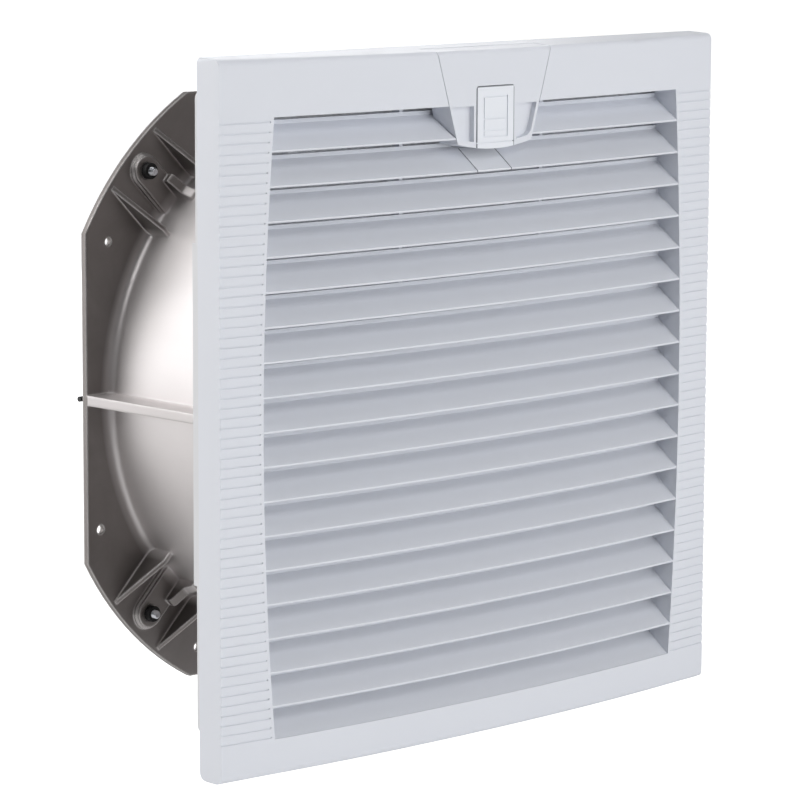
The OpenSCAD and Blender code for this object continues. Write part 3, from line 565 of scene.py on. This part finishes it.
# %% Finishes
plastic("cover_plastic", rgb(223, 226, 233), rgb(217, 220, 228), roughness=0.43)
# The button and the slat insert get painted shade along their gaps.
shade_gaps(plastic("button_plastic", rgb(234, 237, 243), rgb(228, 232, 239), roughness=0.38),
           "release_button", 0.45 * mm, rgb(150, 154, 162), along_top=True)
plastic("frame_plastic", rgb(222, 223, 226), rgb(212, 214, 218), roughness=0.48)
plastic("grid_plastic", rgb(34, 34, 35), rgb(46, 46, 47), roughness=0.5)
shade_gaps(plastic("insert_plastic", rgb(229, 232, 238), rgb(224, 227, 234), roughness=0.42),
           "slat_insert", 0.6 * mm, rgb(120, 124, 132))
fleece("filter_fleece", rgb(244, 245, 247), rgb(222, 225, 230), fibre=1.1 * mm, depth=0.5 * mm)
celled("seal_foam", rgb(46, 46, 48), rgb(16, 16, 17), roughness=0.88, cell=0.7 * mm, depth=0.25 * mm, specular=0.2)
# The diecast's darker colour outside the drum is painted shade.
# The lighter edge colour on the diecast, the motor and the terminal box is a painted highlight.
highlight_edges(metal("diecast_aluminium", rgb(224, 220, 220), rgb(208, 203, 202), roughness=0.46, oxide_share=0.5,
                 drum=DRUM_RADIUS, painted_shade=rgb(132, 127, 125), metallic=0.8),
           1.6 * mm, rgb(222, 218, 217))
highlight_edges(metal("motor_aluminium", rgb(208, 208, 210), rgb(178, 178, 180), roughness=0.36, oxide_share=0.4),
           0.8 * mm, rgb(228, 228, 229))
plastic("bush_rubber", rgb(20, 20, 21), rgb(30, 30, 31),
        roughness=0.62, cloud=0.5, grain=0.7 * mm, depth=0.02 * mm, specular=0.35)
metal("zinc_steel", rgb(214, 216, 220), rgb(186, 190, 198),
      roughness=0.28, oxide_share=0.5, pit=0.5 * mm, depth=0.006 * mm)
metal("spring_steel", rgb(176, 176, 180), rgb(140, 140, 146),
      roughness=0.3, oxide_share=0.4, pit=0.4 * mm, depth=0.004 * mm)
metal("shaft_steel", rgb(200, 201, 204), rgb(176, 177, 182),
      roughness=0.2, oxide_share=0.35, pit=0.4 * mm, depth=0.003 * mm)
celled("black_wire", rgb(34, 34, 35), rgb(15, 15, 16), roughness=0.38, cell=0.6 * mm, depth=0.03 * mm, specular=0.5)
metal("lamination_steel", rgb(120, 122, 126), rgb(88, 88, 92), roughness=0.45, oxide_share=0.6)
metal("winding_copper", rgb(198, 120, 72), rgb(150, 78, 40),
      roughness=0.35, oxide_share=0.6, pit=0.7 * mm, depth=0.1 * mm)
plastic("rotor_paint", rgb(48, 48, 50), rgb(60, 60, 62),
        roughness=0.35, cloud=0.5, grain=0.8 * mm, depth=0.02 * mm, specular=0.5)
plastic("blade_plastic", rgb(46, 47, 49), rgb(58, 59, 61), roughness=0.42, cloud=0.5, grain=0.6 * mm, depth=0.02 * mm)
highlight_edges(plastic("box_plastic", rgb(50, 51, 53), rgb(62, 63, 65),
                   roughness=0.45, cloud=0.5, grain=0.5 * mm, depth=0.015 * mm),
           0.9 * mm, rgb(84, 85, 88), amount=3.0)
plastic("block_plastic", rgb(225, 224, 218), rgb(212, 210, 202), roughness=0.4)
plastic("gland_plastic", rgb(44, 44, 46), rgb(56, 56, 58), roughness=0.4, cloud=0.5, grain=0.6 * mm, depth=0.02 * mm)
print("finishes", len(finishes))

# %% [markdown]
# The frame's meshes have loose faces, so a Weld joins them, and weighted normals keep the flats flat.
# A moulding has no razor edge, so where there is room a Bevel rounds the corners. It works best on clean flat faces,
# which a planar Decimate makes from the triangles. On a pierced face that would give one face with holes, which the
# bevel can't follow, so pierced pieces are bevelled as they are.
# On the louvre cover, the casting and the wire there is no room. They keep crisp edges, marked by the fold's angle.

# %% Edge tools
EDGE_ANGLE = math.radians(32)
FLAT_ANGLE = math.radians(0.4)
WELD_GAP = 0.004 * mm
pierced = ("mounting_frame", "support_grid", "release_panel", "release_button",
           "motor_base", "terminal_box", "terminal_block")


def crisp_by_angle(angle):
    group = bpy.data.node_groups.new("crisp_edges", "GeometryNodeTree")
    group.interface.new_socket("Mesh", in_out="INPUT", socket_type="NodeSocketGeometry")
    group.interface.new_socket("Mesh", in_out="OUTPUT", socket_type="NodeSocketGeometry")
    came, gone = group.nodes.new("NodeGroupInput"), group.nodes.new("NodeGroupOutput")
    fold = group.nodes.new("GeometryNodeInputMeshEdgeAngle")
    flat = group.nodes.new("FunctionNodeCompare")
    flat.operation = "LESS_THAN"
    flat.inputs["B"].default_value = angle
    faces = group.nodes.new("GeometryNodeSetShadeSmooth")
    edges = group.nodes.new("GeometryNodeSetShadeSmooth")
    edges.domain = "EDGE"
    group.links.new(fold.outputs["Unsigned Angle"], flat.inputs["A"])
    group.links.new(came.outputs["Mesh"], faces.inputs["Geometry"])
    group.links.new(faces.outputs["Geometry"], edges.inputs["Geometry"])
    group.links.new(flat.outputs["Result"], edges.inputs["Shade Smooth"])
    group.links.new(edges.outputs["Geometry"], gone.inputs["Mesh"])
    return group


crisp_edges = crisp_by_angle(EDGE_ANGLE)


def soften(node, width):
    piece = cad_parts[node]
    weld = piece.modifiers.new("join_faces", "WELD")
    weld.merge_threshold = WELD_GAP
    if width and node not in pierced:
        flat = piece.modifiers.new("clean_faces", "DECIMATE")
        flat.decimate_type = "DISSOLVE"
        flat.angle_limit = FLAT_ANGLE
    if width:
        bevel = piece.modifiers.new("soft_edges", "BEVEL")
        bevel.width = width
        bevel.segments = 2
        bevel.limit_method = "ANGLE"
        bevel.angle_limit = EDGE_ANGLE
        bevel.miter_outer = "MITER_SHARP" if node in pierced else "MITER_ARC"
    else:
        piece.modifiers.new("crisp_edges", "NODES").node_group = crisp_edges
    normals = piece.modifiers.new("even_normals", "WEIGHTED_NORMAL")
    normals.keep_sharp = not width
    normals.weight = 80


print("edge tools ready,", len(pierced), "pierced pieces")

# %% [markdown]
# The list gives each solid its finish and the width of its soft edge in millimetres, with 0 for a crisp edge.
# One list is easier to look over than thirty-one calls, and a missing node shows at once in the count.

# %% Dress the solids
dress = {
    "louvre_cover": ("cover_plastic", 0.0), "release_panel": ("cover_plastic", 0.25),
    "release_button": ("button_plastic", 0.4), "slat_insert": ("insert_plastic", 0.35),
    "panel_screws": ("zinc_steel", 0.15), "hinge_pins": ("zinc_steel", 0.15),
    "mounting_frame": ("frame_plastic", 0.3), "latch_tongue": ("frame_plastic", 0.2),
    "support_grid": ("grid_plastic", 0.25),
    "fan_housing": ("diecast_aluminium", 0.0), "housing_screws": ("zinc_steel", 0.2),
    "corner_grommets": ("bush_rubber", 0.4), "corner_screws": ("zinc_steel", 0.2),
    "rear_guard": ("black_wire", 0.0), "motor_base": ("motor_aluminium", 0.15),
    "stator_core": ("lamination_steel", 0.1), "stator_windings": ("winding_copper", 0.0),
    "motor_shaft": ("shaft_steel", 0.2), "front_bearing": ("shaft_steel", 0.15),
    "rear_bearing": ("shaft_steel", 0.15), "rotor_shell": ("rotor_paint", 0.5),
    "impeller": ("blade_plastic", 0.4), "motor_screws": ("zinc_steel", 0.2),
    "terminal_box": ("box_plastic", 0.4), "terminal_lid": ("box_plastic", 0.4),
    "lid_screws": ("zinc_steel", 0.15), "terminal_block": ("block_plastic", 0.3),
    "cable_gland": ("gland_plastic", 0.4), "button_spring": ("spring_steel", 0.0),
    "panel_gasket": ("seal_foam", 0.4), "filter_mat": ("filter_fleece", 0.8),
}
for node, (finish_name, width) in dress.items():
    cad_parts[node].data.materials.clear()
    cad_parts[node].data.materials.append(finishes[finish_name])
    soften(node, width * mm)
print("dressed", len(dress), "nodes")

# %% [markdown]
# Some pieces are too soft or too fine for the CAD solids, so they are made here and stand in for them.
# Each is a skin laid over rows of points, as a hull is planked over its frames.
# The helpers lay the skin, close it, and put the piece on its body with its finish.

# %% Skin helpers
def lay_skin(skin, rows):
    for low, high in zip(rows, rows[1:]):
        for i in range(len(low)):
            j = (i + 1) % len(low)
            skin.faces.new((low[i], low[j], high[j], high[i])).smooth = True
    skin.faces.new(rows[0])
    skin.faces.new(list(reversed(rows[-1])))


def add_piece(name, skin, body, finish_name):
    mesh = bpy.data.meshes.new(name)
    bmesh.ops.recalc_face_normals(skin, faces=skin.faces)
    skin.to_mesh(mesh)
    skin.free()
    piece = bpy.data.objects.new(name, mesh)
    bpy.context.scene.collection.objects.link(piece)
    mesh.materials.append(finishes[finish_name])
    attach(piece, body)
    print(name, len(mesh.vertices), "points on", body)
    return piece


def box_of(node):
    return [Vector(corner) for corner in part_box(node)]


print("skin helpers ready")

# %% [markdown]
# A filter mat is a lofty fleece: fibres laid down in layers and bonded, flat on the grid and uneven in front.
# A subdivided block would keep flat faces and straight edges.
# So a sheet of points is bent round the outline, thinned towards its cut edge, and lofted by two sizes of noise.

# %% Fleece pad
mat_low, mat_high = box_of("filter_mat")
mat_mid, mat_half = (mat_low + mat_high) / 2, (mat_high - mat_low) / 2
MAT_ROOM, MAT_CORNER = 0.4 * mm, 5 * mm
BACK_SHARES = (0.545, 0.74, 0.9025)
EDGE_RINGS = ((0.992, 0.0), (1.0, 0.12), (0.9985, 0.35), (1.0, 0.6), (0.997, 0.82), (0.985, 0.94), (0.962, 1.0))
SMALLEST_SHARE = 0.004
SWAY, MOST_SWAY, SWAYS_PER_METRE = 0.6 * mm, 0.2 * mm, 90
LOFT, BROAD_LOFT, BROAD_PER_METRE, FINE_LOFT, FINE_PER_METRE = 0.9 * mm, 0.7 * mm, 35, 0.45 * mm, 160
FRONT_SHARES = [max(share, SMALLEST_SHARE) for share in np.linspace(0.93, 0.0, 40)]


def round_outline(half_w, half_h, radius, per_side=56, per_corner=8):
    arcs = []
    for k, (sx, sz) in enumerate(((1, 1), (-1, 1), (-1, -1), (1, -1))):
        centre = Vector((sx * (half_w - radius), 0, sz * (half_h - radius)))
        arcs.append([centre + radius * Vector((math.cos(a), 0, math.sin(a)))
                     for a in np.linspace(k, k + 1, per_corner + 1) * (math.pi / 2)])
    points = []
    for arc, following in zip(arcs, arcs[1:] + arcs[:1]):
        points += arc[:-1]
        points += [arc[-1].lerp(following[0], i / per_side) for i in range(per_side)]
    return points


def fleece_point(outward, share, front):
    spot = Vector((mat_mid.x + outward.x * share, mat_high.y - front * (mat_high.y - mat_low.y),
                   mat_mid.z + outward.z * share))
    sway = SWAY * noise.noise(spot * SWAYS_PER_METRE)
    loft = LOFT + BROAD_LOFT * noise.noise(spot * BROAD_PER_METRE) + FINE_LOFT * noise.noise(spot * FINE_PER_METRE)
    spot += outward.normalized() * min(sway, MOST_SWAY) * front
    spot.y += max(loft, 0) * front
    return spot


outline = round_outline(mat_half.x - MAT_ROOM, mat_half.z - MAT_ROOM, MAT_CORNER)
rings = [(share, 0.0) for share in BACK_SHARES] + list(EDGE_RINGS) + [(share, 1.0) for share in FRONT_SHARES]
skin = bmesh.new()
lay_skin(skin, [[skin.verts.new(fleece_point(p, share, front)) for p in outline] for share, front in rings])
fleece_pad = add_piece("fleece_pad", skin, "base", "filter_fleece")
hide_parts("filter_mat")

# %% [markdown]
# The seal is a self-adhesive foam strip, cut into four lengths that butt at the corners.
# One square ring would have mitred corners, which nobody cuts in foam.
# Each strip is a low loaf: flat on the frame, crowned towards the cabinet wall, with a slightly wavy cut edge.
# The lower one is narrow, because the cover's hinge lies there.

# %% Foam seal
seal_low, seal_high = box_of("panel_gasket")
STRIP_WIDTH, LOWER_STRIP_WIDTH, BUTT_GAP = 9 * mm, 3.5 * mm, 0.15 * mm
STRIP_STEPS, WAVES_PER_METRE, CUT_WAVE = 90, 120, 0.15 * mm
SIDE_ROOM, THICKNESS_WAVE = 0.02, 0.03
LOAF = ((0, 0), (0, 0.55), (0.06, 0.82), (0.2, 0.95), (0.5, 1.0), (0.8, 0.95), (0.94, 0.82), (1, 0.55), (1, 0))


def foam_point(skin, here, inward, width, across, up):
    spot = here + inward * width * (SIDE_ROOM + (1 - 2 * SIDE_ROOM) * across)
    wave = noise.noise(spot * WAVES_PER_METRE)
    spot += inward * wave * CUT_WAVE * (1 if across < 0.5 else -1)
    thick = (seal_high.y - seal_low.y) * up * (1 - THICKNESS_WAVE + THICKNESS_WAVE * wave)
    return skin.verts.new((spot.x, seal_low.y + thick, spot.z))


def foam_strip(skin, start, stop, inward, width):
    start, stop, inward = (Vector((x, 0, z)) for x, z in (start, stop, inward))
    steps = [start.lerp(stop, i / STRIP_STEPS) for i in range(STRIP_STEPS + 1)]
    lay_skin(skin, [[foam_point(skin, here, inward, width, across, up) for across, up in LOAF] for here in steps])


skin = bmesh.new()
left, right, low, high = seal_low.x, seal_high.x, seal_low.z, seal_high.z
inner = STRIP_WIDTH + BUTT_GAP
foam_strip(skin, (left, high), (right, high), (0, -1), STRIP_WIDTH)
foam_strip(skin, (left, low), (left, high - inner), (1, 0), STRIP_WIDTH)
foam_strip(skin, (right, low), (right, high - inner), (-1, 0), STRIP_WIDTH)
foam_strip(skin, (left + inner, low), (right - inner, low), (0, 1), LOWER_STRIP_WIDTH)
foam_seal = add_piece("foam_seal", skin, "base", "seal_foam")
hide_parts("panel_gasket")

# %% [markdown]
# The button's return spring is a fine coil with a closed turn at each end.
# The frame's solid is faceted, so a round wire is swept along the same helix here.
# It rides with the button.

# %% Button coil
spring_low, spring_high = box_of("button_spring")
spring_length = spring_high.y - spring_low.y
coil_mid = (spring_low + spring_high) / 2
WIRE_R, TURNS, COIL_STEPS, WIRE_SIDES = 0.3 * mm, 6.5, 260, 12
coil_r = (spring_high.x - spring_low.x) / 2 - WIRE_R
half_closed = WIRE_R * 2.1 / 2


def coil_ring(turn):
    rise = min(max((turn - 1) / (TURNS - 2), 0), 1)
    closed = min(turn, 1) + max(turn - TURNS + 1, 0)
    y = spring_low.y + WIRE_R + closed * half_closed + rise * (spring_length - 2 * WIRE_R - 2 * half_closed)
    out = Vector((math.cos(2 * math.pi * turn), 0, math.sin(2 * math.pi * turn)))
    centre = Vector((coil_mid.x, y, coil_mid.z)) + out * coil_r
    round_wire = [2 * math.pi * side / WIRE_SIDES for side in range(WIRE_SIDES)]
    return [centre + (out * math.cos(b) + Vector((0, math.sin(b), 0))) * WIRE_R for b in round_wire]


skin = bmesh.new()
lay_skin(skin, [[skin.verts.new(p) for p in coil_ring(TURNS * i / COIL_STEPS)] for i in range(COIL_STEPS + 1)])
button_coil = add_piece("button_coil", skin, "button", "spring_steel")
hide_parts("button_spring")
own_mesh(button_coil)
print("button coil", round(spring_length / mm, 2), "mm long")

# %% [markdown]
# The screws are small, but they are the brightest points on the dark casting and on the back.
# A plain rod with a disc on it would look like a rivet, so each gets a rolled thread, a domed head and a cross recess.
# All of it is one skin of rings round the screw's axis: the thread is a radius that winds, and the recess is a ring
# that follows the outline of a cross and then sinks.

# %% Screw shape
CROSS_ARM, CROSS_HALF = 0.52, 0.13
RINGS_PER_PITCH = 6
ROOT_SHARE, THREAD_SHARE = 0.82, 0.17
FLANK_SLOPE, ROOT_FLAT = 1.6, 0.3
TIP_SHARE, TIP_PITCHES = 0.72, 1.2
DOME = ((0.9, 0), (0.97, 0.02), (0.99, 0.1), (0.99, 0.4), (0.96, 0.62), (0.88, 0.82), (0.74, 0.95), (0.66, 0.98))
RECESS = ((1.05, 0.985), (1.0, 0.96), (0.9, 0.5), (0.8, 0.42), (0.02, 0.36))
corner_angle = math.degrees(math.atan2(CROSS_HALF, CROSS_ARM))
between = (45 + corner_angle) / 2
ring_angles = [math.radians(90 * arm + a) for arm in range(4)
               for a in (-45, -between, -corner_angle, 0, corner_angle, between)]


def cross_radius(angle):
    turn = (math.degrees(angle) + 45) % 90 - 45
    if abs(turn) <= corner_angle + 1e-6:
        return CROSS_ARM / math.cos(math.radians(turn))
    return CROSS_HALF / math.sin(math.radians(abs(turn)))


def thread_radius(angle, depth, pitch):
    wave = 1 - abs(2 * ((depth / pitch - angle / (2 * math.pi)) % 1) - 1)
    crest = min(max(FLANK_SLOPE * wave - ROOT_FLAT, 0), 1)
    taper = min(1, TIP_SHARE + (1 - TIP_SHARE) * depth / (TIP_PITCHES * pitch))
    return taper * (ROOT_SHARE + THREAD_SHARE * crest)


def screw_rings(tip, top, shank_r, head_r, head_h, pitch):
    seat = top - head_h
    steps = int((seat - tip) / (pitch / RINGS_PER_PITCH))
    rings = [[(a, shank_r * share, tip) for a in ring_angles] for share in (0.001, 0.55)]
    for depth in ((seat - tip) * i / steps for i in range(steps + 1)):
        rings.append([(a, shank_r * thread_radius(a, depth, pitch), tip + depth) for a in ring_angles])
    rings += [[(a, head_r * share, seat + head_h * rise) for a in ring_angles] for share, rise in DOME]
    for share, sink in RECESS:
        rings.append([(a, head_r * share * cross_radius(a), seat + head_h * sink) for a in ring_angles])
    return rings


print("cross recess of", len(ring_angles), "points a ring")

# %% [markdown]
# Each set of screws takes its places from its own solid's box: the outermost heads touch the box's sides.
# The four corner screws carry the guard, and their tips show in the black bushes on the front of the flange.
# The recesses are turned by different amounts, as they are after a screwdriver has stopped at random.

# %% Screws
FIRST_TURN, NEXT_TURN = 0.3, 0.6
CREASE = math.radians(40)


def four_corners(low, high, head_r):
    return [(x, z) for x in (low.x + head_r, high.x - head_r) for z in (low.z + head_r, high.z - head_r)]


def left_and_right(low, high, head_r):
    return [(x, (low.z + high.z) / 2) for x in (low.x + head_r, high.x - head_r)]


def add_screws(name, node, body, places, shank_r, head_r, head_h, pitch):
    low, high = box_of(node)
    rings = screw_rings(low.y, high.y, shank_r, head_r, head_h, pitch)
    skin = bmesh.new()
    for n, (x, z) in enumerate(places(low, high, head_r)):
        turn = NEXT_TURN * n + FIRST_TURN
        lay_skin(skin, [[skin.verts.new((x + r * math.cos(a + turn), y, z + r * math.sin(a + turn)))
                         for a, r, y in ring] for ring in rings])
    piece = add_piece(name, skin, body, "zinc_steel")
    piece.data.set_sharp_from_angle(angle=CREASE)
    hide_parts(node)


screw_sets = (
    ("corner_screw_set", "corner_screws", "base", four_corners, 2, 4.6, 3, 0.7),
    ("housing_screw_set", "housing_screws", "base", four_corners, 2, 4.5, 3, 0.7),
    ("motor_screw_set", "motor_screws", "base", four_corners, 2, 3.6, 2.4, 0.7),
    ("lid_screw_set", "lid_screws", "base", left_and_right, 1.5, 2.8, 1.2, 0.6),
    ("panel_screw_set", "panel_screws", "cover", left_and_right, 1.25, 2.8, 2, 0.6),
)
for name, node, body, places, *sizes in screw_sets:
    add_screws(name, node, body, places, *(size * mm for size in sizes))
print("screw sets", len(screw_sets))
